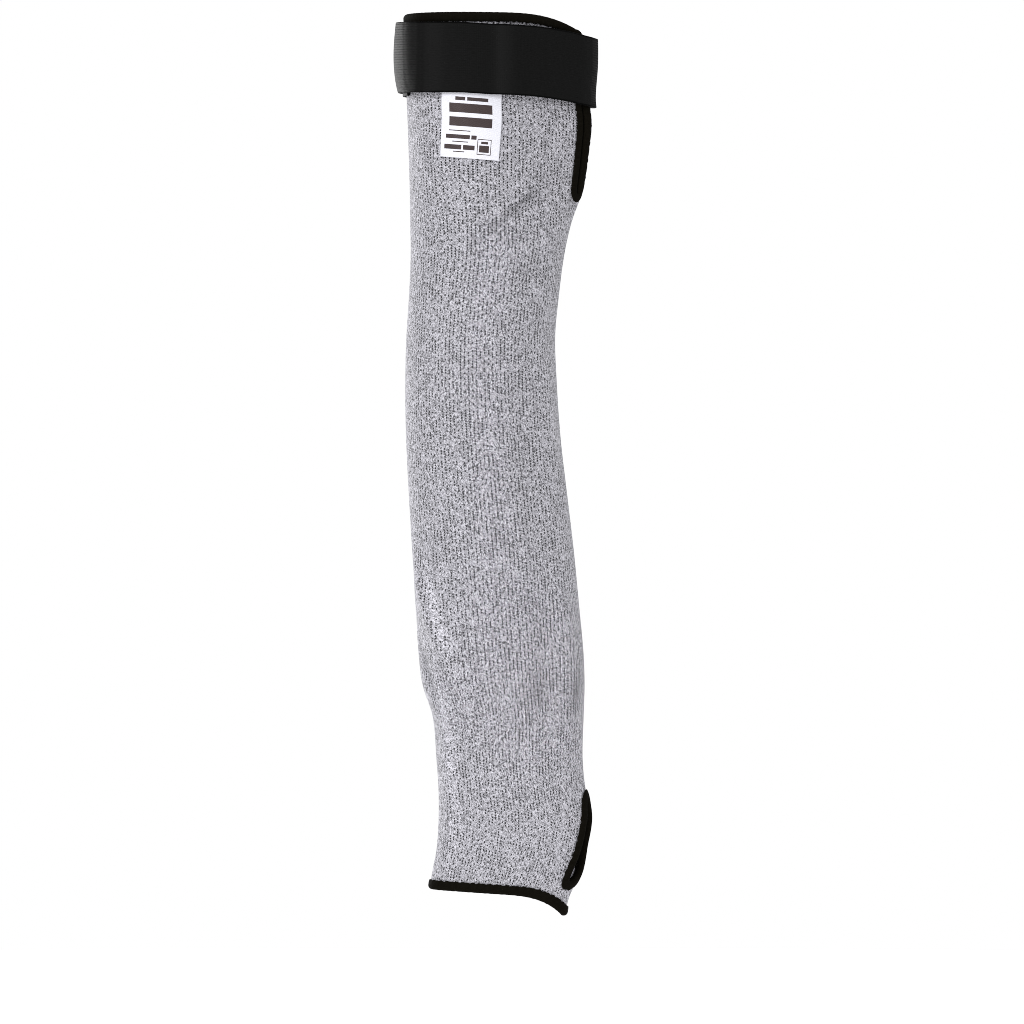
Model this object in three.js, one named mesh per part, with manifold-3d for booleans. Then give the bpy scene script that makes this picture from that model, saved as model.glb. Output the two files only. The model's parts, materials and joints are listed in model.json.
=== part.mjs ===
// A cut resistant arm sleeve as it is worn: a knitted tube from the upper arm to the
// knuckles, with a bound slit and an elastic strap at the top, a sewn-on label, and a
// bound thumb slot just above the bound hem. Millimetres, +Z up the arm.
// +X is the thumb side (inside of the elbow), -X the elbow side, -Y the outer side of
// the arm. The origin is the middle of the strap's ring.
import * as THREE from "three";
import { mergeVertices } from "three/addons/utils/BufferGeometryUtils.js";
import Module from "manifold-3d";

const wasm = await Module();
wasm.setup();

// The sleeve's main sizes
const SLEEVE_LENGTH = 489; // top edge to the lowest point of the hem
const ARM_WIDTH = 103; // across the top of the tube, elbow side to thumb side
const KNIT_THICKNESS = 1.8;
const GAP = 0.5; // between any two pieces

// Black binding: a tape folded over the raw edge of the knit
const BINDING_WIDTH = 5;
const BINDING_WALL = 0.8;

// Elastic strap, which laps over its own start on the elbow side
const STRAP_WIDTH = 38;
const STRAP_THICKNESS = 1.6;
const STRAP_CLEAR = 2.4; // binding of the top edge to the strap, at the front
const HOOK_THICKNESS = 0.7;
const HOOK_LENGTH = 38;
const HOOK_WIDTH = 30;
const HOOK_AROUND = 0.52; // its middle, as a share of the way round

// Slit at the top, on the thumb side
const SLIT_LENGTH = 101.5; // top edge of the sleeve to the bottom of the slit's binding
const SLIT_FROM_RIDGE = 2.25; // thumb side's ridge to the slit's binding
const SLIT_SEAM = 0.5; // between its two bound edges
const SLIT_CORNER = 4; // radius where its edges turn into the top edge

// Thumb slot
const SLOT_LENGTH = 46; // knit edge to knit edge
const SLOT_WIDTH = 18;
const SLOT_CENTRE = 2.5; // this far round to the outer side
const SLOT_ABOVE_HEM = 17; // from its lower end to the end of the knit
const SLOT_LEAN = 7; // its lower end leans this far to the outer side

// Label
const LABEL_WIDTH = 32.5;
const LABEL_LENGTH = 34; // the part that shows below the strap
const LABEL_TUCK = 5; // the part under the strap
const LABEL_THICKNESS = 0.6;
const LABEL_TURN = 4.5; // degrees
const LABEL_AROUND = 0.271; // its middle, as a share of the way round

// How fine the solids are
const AROUND = 46;
const ALONG = 33;
const PERIMETER_SAMPLES = 240;

const TOP = BINDING_WIDTH + STRAP_CLEAR + STRAP_WIDTH / 2;
const BOTTOM = TOP - SLEEVE_LENGTH;
const BINDING_INSET = BINDING_WALL + GAP; // binding's outer edge to the knit's edge
const BINDING_THICKNESS = KNIT_THICKNESS + 2 * (GAP + BINDING_WALL);
const ON_KNIT = KNIT_THICKNESS / 2 + GAP; // mid knit to the inner face of what lies on it
const ON_BINDING = BINDING_THICKNESS / 2 + GAP;
const ON_LAYER = STRAP_THICKNESS + HOOK_THICKNESS + 2 * GAP; // from layer to layer

// Outline of the worn sleeve. down is a share of SLEEVE_LENGTH; elbow, thumb and
// depth are the reach to each side and the front-to-back width, as shares of
// ARM_WIDTH; toward is how far the middle leans to the inner side; pinch draws the
// thumb side to a ridge, as the slit does.
const SECTIONS = [
  { down: 0.0, elbow: 0.503, thumb: 0.475, depth: 0.93, toward: 0.0, pinch: 0.7 },
  { down: 0.053, elbow: 0.503, thumb: 0.478, depth: 0.93, toward: 0.0, pinch: 0.7 },
  { down: 0.095, elbow: 0.498, thumb: 0.466, depth: 0.92, toward: 0.0, pinch: 0.7 },
  { down: 0.12, elbow: 0.493, thumb: 0.478, depth: 0.91, toward: 0.0, pinch: 0.7 },
  { down: 0.15, elbow: 0.488, thumb: 0.464, depth: 0.9, toward: 0.0, pinch: 0.66 },
  { down: 0.197, elbow: 0.482, thumb: 0.426, depth: 0.85, toward: 0.0, pinch: 0.5 },
  { down: 0.23, elbow: 0.48, thumb: 0.372, depth: 0.82, toward: 0.004, pinch: 0.15 },
  { down: 0.263, elbow: 0.477, thumb: 0.336, depth: 0.8, toward: 0.008, pinch: 0 },
  { down: 0.308, elbow: 0.485, thumb: 0.307, depth: 0.785, toward: 0.014, pinch: 0 },
  { down: 0.363, elbow: 0.501, thumb: 0.288, depth: 0.78, toward: 0.018, pinch: 0 },
  { down: 0.418, elbow: 0.506, thumb: 0.296, depth: 0.775, toward: 0.02, pinch: 0 },
  { down: 0.473, elbow: 0.501, thumb: 0.315, depth: 0.78, toward: 0.018, pinch: 0 },
  { down: 0.529, elbow: 0.488, thumb: 0.346, depth: 0.78, toward: 0.014, pinch: 0 },
  { down: 0.595, elbow: 0.467, thumb: 0.383, depth: 0.76, toward: 0.006, pinch: 0 },
  { down: 0.662, elbow: 0.451, thumb: 0.414, depth: 0.72, toward: -0.002, pinch: 0 },
  { down: 0.711, elbow: 0.435, thumb: 0.435, depth: 0.68, toward: -0.01, pinch: 0 },
  { down: 0.744, elbow: 0.414, thumb: 0.44, depth: 0.64, toward: -0.016, pinch: 0 },
  { down: 0.778, elbow: 0.362, thumb: 0.435, depth: 0.59, toward: -0.022, pinch: 0 },
  { down: 0.827, elbow: 0.341, thumb: 0.43, depth: 0.52, toward: -0.028, pinch: 0 },
  { down: 0.861, elbow: 0.33, thumb: 0.446, depth: 0.48, toward: -0.03, pinch: 0 },
  { down: 0.894, elbow: 0.33, thumb: 0.482, depth: 0.465, toward: -0.03, pinch: 0 },
  { down: 0.927, elbow: 0.341, thumb: 0.458, depth: 0.45, toward: -0.03, pinch: 0 },
  { down: 0.958, elbow: 0.368, thumb: 0.405, depth: 0.43, toward: -0.03, pinch: 0 },
  { down: 0.978, elbow: 0.374, thumb: 0.361, depth: 0.41, toward: -0.03, pinch: 0 },
  { down: 1.0, elbow: 0.375, thumb: 0.334, depth: 0.39, toward: -0.03, pinch: 0 },
];

// Soft folds. down and tall are shares of SLEEVE_LENGTH, around and wide shares of the
// way round from the thumb side over the outer side; lean is how far the fold drifts
// round over its half height; lift is a share of ARM_WIDTH, out for +, in for -.
const FOLDS = [
  { down: 0.68, around: 0.414, tall: 0.11, wide: 0.024, lean: -0.016, lift: 0.017 },
  { down: 0.69, around: 0.46, tall: 0.09, wide: 0.03, lean: -0.012, lift: -0.015 },
  { down: 0.71, around: 0.144, tall: 0.07, wide: 0.03, lean: -0.008, lift: -0.021 },
  { down: 0.71, around: 0.086, tall: 0.07, wide: 0.03, lean: -0.008, lift: 0.014 },
  { down: 0.36, around: 0.08, tall: 0.03, wide: 0.08, lean: 0.02, lift: -0.01 },
  { down: 0.235, around: 0.15, tall: 0.05, wide: 0.045, lean: 0.05, lift: -0.012 },
  { down: 0.935, around: 0.14, tall: 0.03, wide: 0.04, lean: 0.02, lift: -0.012 },
  { down: 0.7, around: 0.78, tall: 0.1, wide: 0.05, lean: 0.02, lift: -0.014 },
  { down: 0.8, around: 0.66, tall: 0.08, wide: 0.04, lean: -0.02, lift: 0.012 },
];

// The edges dip on the thumb side: each is an even slope across the sleeve plus a dip
// that grows with a power of the reach to the thumb side, as shares of ARM_WIDTH.
const TOP_EDGE = { slope: 0, dip: 0.136, power: 3 };
const STRAP_LINE = { slope: 0.009, dip: 0.048, power: 2 };
const HEM_EDGE = { slope: 0.023, dip: 0.093, power: 3 };

// The strap's run, from its sewn start on the elbow side over the inner side, the slit
// and the outer side, and up over its own start. off is from the middle of the knit to
// the strap's inner face; raise, belly and tuck are the lap's shift up, its stand-off
// at mid width and the drawing in of its lower edge, as shares of STRAP_WIDTH.
const STRAP_RUN = [
  { around: 0.43, off: ON_KNIT, raise: 0, belly: 0, tuck: 0 },
  { around: 0.85, off: ON_KNIT, raise: 0, belly: 0, tuck: 0 },
  { around: 0.9, off: ON_BINDING, raise: 0, belly: 0, tuck: 0 },
  { around: 1.24, off: ON_BINDING, raise: 0, belly: 0, tuck: 0 },
  { around: 1.29, off: ON_BINDING, raise: 0.04, belly: 0, tuck: 0 },
  { around: 1.36, off: ON_BINDING, raise: 0.042, belly: 0, tuck: 0 },
  { around: 1.42, off: ON_KNIT + ON_LAYER, raise: 0.047, belly: 0, tuck: 0.01 },
  { around: 1.5, off: ON_KNIT + ON_LAYER, raise: 0.058, belly: 0.032, tuck: 0.021 },
  { around: 1.61, off: ON_KNIT + ON_LAYER, raise: 0.058, belly: 0.008, tuck: 0.01 },
];

function tableOf(Interpolant, rows) {
  const [key, ...names] = Object.keys(rows[0]);
  const values = rows.flatMap((row) => names.map((name) => row[name]));
  return new Interpolant(rows.map((row) => row[key]), values, names.length);
}

const sections = tableOf(THREE.CubicInterpolant, SECTIONS);
const strapRun = tableOf(THREE.LinearInterpolant, STRAP_RUN);

// Height of an edge below its own highest line, for a reach from -1 (elbow) to 1 (thumb)
function edgeDrop(edge, reach) {
  const share = edge.slope * (1 + reach) + edge.dip * Math.max(0, reach) ** edge.power;
  return share * ARM_WIDTH;
}

const HEM_DROP = edgeDrop(HEM_EDGE, 1);
const topZ = (reach) => TOP - edgeDrop(TOP_EDGE, reach);
const hemZ = (reach) => BOTTOM + HEM_DROP - edgeDrop(HEM_EDGE, reach);
const strapZ = (reach) => edgeDrop(STRAP_LINE, 0) - edgeDrop(STRAP_LINE, reach);

// How far a full pinch turns the round end into a ridge, and how round the ridge stays
const RIDGE_SHARE = 0.7;
const RIDGE_SOFTNESS = 0.13;

// Reach from 1 to -1 that falls off evenly from a ridge on the thumb side
function fromRidge(angle) {
  const fall = (value) => Math.hypot(value, RIDGE_SOFTNESS) - RIDGE_SOFTNESS;
  return 1 - (2 * fall(Math.sin(angle / 2))) / fall(1);
}

// One level cut through the middle of the knit, with its lengths measured round it
const cuts = new Map();
function cutAt(z) {
  const key = Math.round(z * 20);
  if (cuts.has(key)) return cuts.get(key);
  const down = (TOP - key / 20) / SLEEVE_LENGTH;
  const [elbow, thumb, depth, toward, pinch] = sections.evaluate(down);
  const middle = ((thumb - elbow) / 2) * ARM_WIDTH;
  const half = ((thumb + elbow) / 2) * ARM_WIDTH - KNIT_THICKNESS / 2;
  const halfDepth = (depth * ARM_WIDTH - KNIT_THICKNESS) / 2;
  const sharp = pinch * RIDGE_SHARE;
  const points = [];
  for (let i = 0; i < PERIMETER_SAMPLES; i++) {
    const angle = (2 * Math.PI * i) / PERIMETER_SAMPLES;
    const narrowing = (1 - pinch + pinch * Math.sin(angle / 2)) / (1 - pinch / 4);
    const reach = Math.cos(angle) * (1 - sharp) + fromRidge(angle) * sharp;
    const x = middle + half * reach;
    const y = toward * ARM_WIDTH - halfDepth * Math.sin(angle) * narrowing;
    points.push(new THREE.Vector2(x, y));
  }
  const lengths = [0];
  points.forEach((point, i) => {
    lengths.push(lengths[i] + point.distanceTo(points[(i + 1) % points.length]));
  });
  const cut = { points, lengths, perimeter: lengths[points.length], middle, half };
  cuts.set(key, cut);
  return cut;
}

// Point of the plain tube at a share of the way round from the thumb side
function plainPoint(around, z) {
  const cut = cutAt(z);
  const turn = around - Math.floor(around);
  const target = turn * cut.perimeter;
  let low = 0;
  let high = cut.points.length;
  while (high - low > 1) {
    const mid = (low + high) >> 1;
    if (cut.lengths[mid] <= target) low = mid;
    else high = mid;
  }
  const part = (target - cut.lengths[low]) / (cut.lengths[high] - cut.lengths[low]);
  const at = cut.points[low].clone().lerp(cut.points[high % cut.points.length], part);
  return new THREE.Vector3(at.x, at.y, z);
}

function foldLift(around, z) {
  const down = (TOP - z) / SLEEVE_LENGTH;
  let lift = 0;
  for (const fold of FOLDS) {
    const along = (down - fold.down) / fold.tall;
    let across = around - fold.around - fold.lean * along;
    across = (across - Math.round(across)) / fold.wide;
    lift += fold.lift * ARM_WIDTH * Math.exp(-(along * along + across * across));
  }
  return lift;
}

function outward(pointAt, around, z) {
  const side = 0.004;
  const step = 1;
  const round = pointAt(around + side, z).sub(pointAt(around - side, z));
  const up = pointAt(around, z + step).sub(pointAt(around, z - step));
  return up.cross(round).normalize();
}

// Point in the middle of the folded knit, and the same moved out along its normal
function foldedPoint(around, z) {
  const normal = outward(plainPoint, around, z);
  return plainPoint(around, z).addScaledVector(normal, foldLift(around, z));
}

function skin(around, z, out) {
  const point = foldedPoint(around, z);
  return out ? point.addScaledVector(outward(foldedPoint, around, z), out) : point;
}

function reachAt(around, z) {
  const cut = cutAt(z);
  return THREE.MathUtils.clamp((plainPoint(around, z).x - cut.middle) / cut.half, -1, 1);
}

const perimeterAt = (z) => cutAt(z).perimeter;

// A closed solid from triangles; the corners are merged so that it is one surface
function solidOf(positions) {
  const geometry = new THREE.BufferGeometry();
  geometry.setAttribute("position", new THREE.Float32BufferAttribute(positions, 3));
  return mergeVertices(geometry, 1e-4);
}

function pushQuad(list, a, b, c, d) {
  for (const point of [a, b, c, a, c, d]) list.push(point.x, point.y, point.z);
}

// A wall between an inner and an outer grid of points. grid(i, j, side) gives a point;
// i runs along, j across, and closed says that j comes round to its start.
function wall(along, across, closed, grid) {
  const inner = [];
  const outer = [];
  for (let i = 0; i <= along; i++) {
    inner.push([]);
    outer.push([]);
    for (let j = 0; j <= across; j++) {
      const column = closed ? j % across : j;
      inner[i].push(grid(i, column, 0));
      outer[i].push(grid(i, column, 1));
    }
  }
  const list = [];
  for (let i = 0; i < along; i++) {
    const below = i + 1;
    for (let j = 0; j < across; j++) {
      pushQuad(list, outer[i][j], outer[i][j + 1], outer[below][j + 1], outer[below][j]);
      pushQuad(list, inner[i][j], inner[below][j], inner[below][j + 1], inner[i][j + 1]);
    }
    if (!closed) {
      const end = across;
      pushQuad(list, inner[i][0], outer[i][0], outer[below][0], inner[below][0]);
      pushQuad(list, outer[i][end], inner[i][end], inner[below][end], outer[below][end]);
    }
  }
  for (let j = 0; j < across; j++) {
    const next = j + 1;
    pushQuad(list, inner[0][j], inner[0][next], outer[0][next], outer[0][j]);
    pushQuad(list, outer[along][j], outer[along][next], inner[along][next], inner[along][j]);
  }
  return solidOf(list);
}

function manifoldOf(geometry) {
  const vertProperties = geometry.attributes.position.array;
  const triVerts = new Uint32Array(geometry.index.array);
  return new wasm.Manifold(new wasm.Mesh({ numProp: 3, vertProperties, triVerts }));
}

function cutAway(geometry, ...cutters) {
  const left = cutters.reduce(
    (solid, cutter) => solid.subtract(manifoldOf(cutter)),
    manifoldOf(geometry),
  );
  const mesh = left.getMesh();
  const result = new THREE.BufferGeometry();
  result.setAttribute("position", new THREE.BufferAttribute(mesh.vertProperties, 3));
  result.setIndex(new THREE.BufferAttribute(mesh.triVerts, 1));
  return result;
}

// Columns of corners stand closer together on the thumb and elbow sides, and rows
// where the shape changes quickly along the arm
const COLUMN_CROWDS = [
  { at: 0, wide: 0.05, more: 1.6 },
  { at: 0.5, wide: 0.09, more: 0.9 },
  { at: 1, wide: 0.05, more: 1.6 },
];
const ROW_CROWDS = [
  { at: 0.08, wide: 0.05, more: 1.4 },
  { at: 0.19, wide: 0.04, more: 1.6 },
  { at: 0.74, wide: 0.05, more: 0.7 },
  { at: 0.87, wide: 0.03, more: 0.8 },
  { at: 0.96, wide: 0.07, more: 2.2 },
];

// Shares from 0 to 1 that stand closer together near each crowd
function spread(count, crowds) {
  const steps = 2000;
  const sums = [0];
  for (let i = 0; i < steps; i++) {
    const at = (i + 0.5) / steps;
    const more = crowds.map(
      (crowd) => crowd.more * Math.exp(-(((at - crowd.at) / crowd.wide) ** 2)),
    );
    sums.push(sums[i] + more.reduce((sum, value) => sum + value, 1));
  }
  const shares = [];
  for (let i = 0; i <= count; i++) {
    const wanted = (sums[steps] * i) / count;
    shares.push(sums.findIndex((sum) => sum >= wanted) / steps);
  }
  return shares;
}

const columns = spread(AROUND, COLUMN_CROWDS);
const rows = spread(ALONG, ROW_CROWDS);

// Share of the way round of a column; columns past the last go on into the next round
function columnAt(j) {
  const turn = Math.floor(j / AROUND);
  return turn + columns[j - turn * AROUND];
}

// Places on the sleeve, by the distance round it from the thumb side
const placeAt = (distance, z) => ({ around: distance / perimeterAt(z), z });

// The slit's edge. side is 1 for its outer side, -1 for its inner side; each side
// turns into the top edge with a round corner, and they meet in a round lower end.
const SLIT_CENTRE = SLIT_FROM_RIDGE + BINDING_WIDTH + SLIT_SEAM / 2;
const SLIT_HALF = BINDING_INSET + SLIT_SEAM / 2;
const slitRoundZ = TOP - SLIT_LENGTH + BINDING_WIDTH - BINDING_INSET + SLIT_HALF;

function slitTopZ(side) {
  const distance = SLIT_CENTRE + side * (SLIT_HALF + SLIT_CORNER);
  return topZ(reachAt(distance / perimeterAt(TOP), TOP)) - BINDING_INSET;
}

function slitHalfAt(z, side) {
  const below = slitRoundZ - z;
  if (below > 0) return Math.sqrt(Math.max(0, SLIT_HALF ** 2 - below ** 2));
  const intoCorner = Math.max(0, z - (slitTopZ(side) - SLIT_CORNER));
  const inCorner = Math.sqrt(Math.max(0, SLIT_CORNER ** 2 - intoCorner ** 2));
  return SLIT_HALF + SLIT_CORNER - inCorner;
}

// The slot's edge: rise runs from -1 at its lower end to 1 at its upper end
const slotLow = hemZ(1) + BINDING_INSET + SLOT_ABOVE_HEM;
const slotMiddle = slotLow + SLOT_LENGTH / 2;

function slotEdge(rise, side) {
  const centre = SLOT_CENTRE + SLOT_LEAN * Math.max(0, -rise) ** 2;
  const half = (SLOT_WIDTH / 2) * Math.sqrt(Math.max(0, 1 - rise * rise));
  return placeAt(centre + side * half, slotMiddle + (rise * SLOT_LENGTH) / 2);
}

// The knitted tube, cut away for the slit and the thumb slot
function knitTube() {
  const grid = (i, j, side) => {
    const around = columnAt(j);
    const top = topZ(reachAt(around, TOP)) - BINDING_INSET;
    const low = hemZ(reachAt(around, BOTTOM)) + BINDING_INSET;
    const z = THREE.MathUtils.lerp(top, low, rows[i]);
    return skin(around, z, (side - 0.5) * KNIT_THICKNESS);
  };
  return cutAway(wall(ALONG, AROUND, true, grid), slitCutter(), slotCutter());
}

const CUTTER_REACH = KNIT_THICKNESS * 1.4;

function slitCutter() {
  const cornerSteps = 7;
  const straightSteps = 9;
  const roundSteps = 5;
  const offEdge = 0.01; // keeps the cutter's corner off the knit's own edge
  const top = slitTopZ(1) + offEdge;
  const low = slitTopZ(-1) - SLIT_CORNER;
  const heights = [top + BINDING_WIDTH];
  for (let i = 0; i < cornerSteps; i++) {
    heights.push(THREE.MathUtils.lerp(top, low, i / cornerSteps));
  }
  for (let i = 0; i < straightSteps; i++) {
    heights.push(THREE.MathUtils.lerp(low, slitRoundZ, i / straightSteps));
  }
  for (let i = 0; i <= roundSteps; i++) {
    const turn = (Math.PI / 2) * Math.min(0.98, i / roundSteps);
    heights.push(slitRoundZ - SLIT_HALF * Math.sin(turn));
  }
  const across = 4;
  return wall(heights.length - 1, across, false, (i, j, face) => {
    const share = (2 * j) / across - 1;
    const half = slitHalfAt(heights[i], Math.sign(share) || 1);
    const { around, z } = placeAt(SLIT_CENTRE + half * share, heights[i]);
    return skin(around, z, (2 * face - 1) * CUTTER_REACH);
  });
}

function slotCutter() {
  const along = 20;
  const across = 8;
  return wall(along, across, false, (i, j, side) => {
    const rise = Math.cos(Math.PI * THREE.MathUtils.lerp(0.015, 0.985, i / along));
    const { around, z } = slotEdge(rise, (2 * j) / across - 1);
    return skin(around, z, (2 * side - 1) * CUTTER_REACH);
  });
}

// Section of the folded tape: p is how far from the knit's edge towards the open side,
// q how far out from the middle of the knit
function bindingSection() {
  const half = BINDING_THICKNESS / 2;
  const slot = KNIT_THICKNESS / 2 + GAP;
  const back = BINDING_INSET - BINDING_WIDTH;
  const round = BINDING_INSET - half;
  const stitchedDown = 0.86; // the tape's two edges are sewn a little flatter
  const points = [
    [back, slot],
    [back, half * stitchedDown],
    [round, half],
  ];
  for (const angle of [32, -32]) {
    const turn = THREE.MathUtils.degToRad(angle);
    points.push([round + half * Math.cos(turn), half * Math.sin(turn)]);
  }
  points.push([round, -half], [back, -half * stitchedDown], [back, -slot]);
  points.push([GAP, -slot], [GAP, slot]);
  return points;
}

// A folded tape along a closed run of places on the sleeve, the knit on its right hand
// as seen from outside. It bends with the knit, so the gap between them stays.
function bindingAlong(places) {
  const section = bindingSection();
  const count = places.length;
  const flat = ({ around, z }) => new THREE.Vector2(around * perimeterAt(z), z);
  const rings = places.map((place, i) => {
    const next = flat(places[(i + 1) % count]);
    const along = next.sub(flat(places[(i + count - 1) % count]));
    const lap = perimeterAt(place.z);
    along.x -= lap * Math.round(along.x / lap);
    along.normalize();
    const here = flat(place);
    return section.map(([p, q]) => {
      const at = placeAt(here.x - along.y * p, here.y + along.x * p);
      return skin(at.around, at.z, q);
    });
  });
  const list = [];
  rings.forEach((ring, i) => {
    const next = rings[(i + 1) % count];
    ring.forEach((point, k) => {
      const m = (k + 1) % ring.length;
      pushQuad(list, point, ring[m], next[m], next[k]);
    });
  });
  return solidOf(list);
}

// Up one side of the slit to the top edge
function slitSidePlaces(side) {
  const places = [];
  const straightSteps = 10;
  const cornerSteps = 3;
  const corner = slitTopZ(side) - SLIT_CORNER;
  for (let i = 0; i <= straightSteps; i++) {
    const z = THREE.MathUtils.lerp(slitRoundZ, corner, i / straightSteps);
    places.push(placeAt(SLIT_CENTRE + side * SLIT_HALF, z));
  }
  for (let i = 1; i <= cornerSteps; i++) {
    const turn = (Math.PI / 2) * (i / (cornerSteps + 0.5));
    const distance = SLIT_HALF + SLIT_CORNER * (1 - Math.cos(turn));
    const z = corner + SLIT_CORNER * Math.sin(turn);
    places.push(placeAt(SLIT_CENTRE + side * distance, z));
  }
  return places;
}

// Round the top edge, and down and up the two sides of the slit, in one closed run
function topBindingPlaces() {
  const places = slitSidePlaces(1);
  const clear = (SLIT_HALF + SLIT_CORNER) * 1.15;
  const begin = (SLIT_CENTRE + clear) / perimeterAt(TOP);
  const end = 1 + (SLIT_CENTRE - clear) / perimeterAt(TOP);
  for (let j = 0; j <= AROUND; j++) {
    const around = columnAt(j);
    if (around < begin || around > end) continue;
    places.push({ around, z: topZ(reachAt(around, TOP)) - BINDING_INSET });
  }
  places.push(...slitSidePlaces(-1).reverse());
  const endSteps = 6;
  for (let i = 1; i < endSteps; i++) {
    const turn = Math.PI * (i / endSteps);
    const distance = SLIT_CENTRE - SLIT_HALF * Math.cos(turn);
    places.push(placeAt(distance, slitRoundZ - SLIT_HALF * Math.sin(turn)));
  }
  return places;
}

function hemBindingPlaces() {
  const places = [];
  for (let j = AROUND; j > 0; j--) {
    const around = columnAt(j);
    places.push({ around, z: hemZ(reachAt(around, BOTTOM)) + BINDING_INSET });
  }
  return places;
}

function slotBindingPlaces() {
  const places = [];
  const steps = 36;
  for (let i = 0; i < steps; i++) {
    const turn = (2 * Math.PI * i) / steps;
    places.push(slotEdge(-Math.cos(turn), Math.sign(Math.sin(turn))));
  }
  return places;
}

// Strap: one band that goes once round and laps over its own start
function strapBand() {
  const across = 4;
  const begin = columns.findIndex((share) => share > STRAP_RUN[0].around);
  const end = columns.findIndex((share) => share > STRAP_RUN.at(-1).around - 1) + AROUND;
  return wall(across, end - begin, false, (i, j, side) => {
    const around = columnAt(begin + j);
    const [off, raise, belly, tuck] = strapRun.evaluate(around);
    const share = 1 - (2 * i) / across;
    const swell = belly * Math.cos((Math.PI * share) / 2) - tuck * Math.max(0, -share) ** 4;
    const z = strapZ(reachAt(around, 0)) + (raise + share / 2) * STRAP_WIDTH;
    return skin(around, z, off + swell * STRAP_WIDTH + side * STRAP_THICKNESS);
  });
}

// Hook patch: sewn to the lap's inner face, pressed on the strap's outer face
function hookPatch() {
  const steps = 8;
  const across = 4;
  return wall(across, steps, false, (i, j, side) => {
    const around = HOOK_AROUND + (HOOK_LENGTH * (j / steps - 0.5)) / perimeterAt(0);
    const z = strapZ(reachAt(around, 0)) + HOOK_WIDTH * (0.5 - i / across);
    const out = ON_KNIT + STRAP_THICKNESS + GAP + side * HOOK_THICKNESS;
    return skin(around, z, out);
  });
}

// Label: lies on the knit, its top edge under the strap
function labelTag() {
  const along = 5;
  const across = 8;
  const top = strapZ(reachAt(LABEL_AROUND, 0)) - STRAP_WIDTH / 2 + LABEL_TUCK;
  const turn = THREE.MathUtils.degToRad(LABEL_TURN);
  return wall(along, across, false, (i, j, side) => {
    const aside = LABEL_WIDTH * (j / across - 0.5);
    const down = ((LABEL_LENGTH + LABEL_TUCK) * i) / along;
    const z = top - down * Math.cos(turn) + aside * Math.sin(turn);
    const shift = aside * Math.cos(turn) + down * Math.sin(turn);
    const around = LABEL_AROUND + shift / perimeterAt(0);
    return skin(around, z, ON_KNIT + side * LABEL_THICKNESS);
  });
}

const MATERIALS = {
  knit: new THREE.MeshStandardMaterial({ color: 0xa9a8ae, roughness: 0.95, metalness: 0 }),
  binding: new THREE.MeshStandardMaterial({ color: 0x15150f, roughness: 0.9, metalness: 0 }),
  strap: new THREE.MeshStandardMaterial({ color: 0x1c1c1d, roughness: 0.7, metalness: 0 }),
  hook: new THREE.MeshStandardMaterial({ color: 0x101011, roughness: 0.8, metalness: 0 }),
  label: new THREE.MeshStandardMaterial({ color: 0xecebf2, roughness: 0.6, metalness: 0 }),
};

const sleeve = new THREE.Group();

function addPiece(name, geometry, material) {
  const piece = new THREE.Mesh(geometry, material);
  piece.name = name;
  sleeve.add(piece);
}

addPiece("knit_tube", knitTube(), MATERIALS.knit);
addPiece("top_binding", bindingAlong(topBindingPlaces()), MATERIALS.binding);
addPiece("hem_binding", bindingAlong(hemBindingPlaces()), MATERIALS.binding);
addPiece("thumb_slot_binding", bindingAlong(slotBindingPlaces()), MATERIALS.binding);
addPiece("closure_strap", strapBand(), MATERIALS.strap);
addPiece("hook_patch", hookPatch(), MATERIALS.hook);
addPiece("label_tag", labelTag(), MATERIALS.label);

export default sleeve;
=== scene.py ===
# The looks of a cut resistant sleeve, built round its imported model. In metres; +Z runs up
# the sleeve, +X to its thumb side, -X to its elbow side and -Y to its outer side.
import json
import math

import bpy
import numpy as np
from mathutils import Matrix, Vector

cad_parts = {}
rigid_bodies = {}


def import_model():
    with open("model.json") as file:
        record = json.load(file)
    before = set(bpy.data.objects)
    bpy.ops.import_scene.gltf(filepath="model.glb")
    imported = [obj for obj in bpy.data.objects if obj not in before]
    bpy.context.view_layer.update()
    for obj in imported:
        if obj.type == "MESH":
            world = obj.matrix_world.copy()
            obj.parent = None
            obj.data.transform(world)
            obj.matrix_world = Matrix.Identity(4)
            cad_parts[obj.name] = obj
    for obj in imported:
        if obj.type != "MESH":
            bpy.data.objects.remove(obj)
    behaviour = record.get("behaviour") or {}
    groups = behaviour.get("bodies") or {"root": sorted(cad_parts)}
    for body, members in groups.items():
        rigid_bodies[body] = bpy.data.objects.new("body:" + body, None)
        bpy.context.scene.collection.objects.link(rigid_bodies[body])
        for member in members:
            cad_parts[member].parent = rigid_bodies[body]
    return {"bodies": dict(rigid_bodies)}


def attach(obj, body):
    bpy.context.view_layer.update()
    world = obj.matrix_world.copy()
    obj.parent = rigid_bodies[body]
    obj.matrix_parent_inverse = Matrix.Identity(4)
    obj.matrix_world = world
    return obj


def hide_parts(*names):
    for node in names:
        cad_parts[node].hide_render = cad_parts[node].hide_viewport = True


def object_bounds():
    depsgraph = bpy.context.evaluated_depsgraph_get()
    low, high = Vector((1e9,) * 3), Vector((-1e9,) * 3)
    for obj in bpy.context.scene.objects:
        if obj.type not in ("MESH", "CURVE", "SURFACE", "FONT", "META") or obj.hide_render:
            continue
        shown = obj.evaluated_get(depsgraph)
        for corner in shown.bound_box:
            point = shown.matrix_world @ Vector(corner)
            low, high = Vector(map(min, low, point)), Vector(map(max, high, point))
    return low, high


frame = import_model()
cad_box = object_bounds()
root = list(frame["bodies"])[0]


# Camera. A long lens from far off, level with the sleeve's middle and square to its outer
# side, so that it is seen almost without perspective.
camera_distance = 8.0
camera_height = -0.2436
camera_aside = 0.0059
view_width = 0.556
sensor_millimetres = 36

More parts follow.
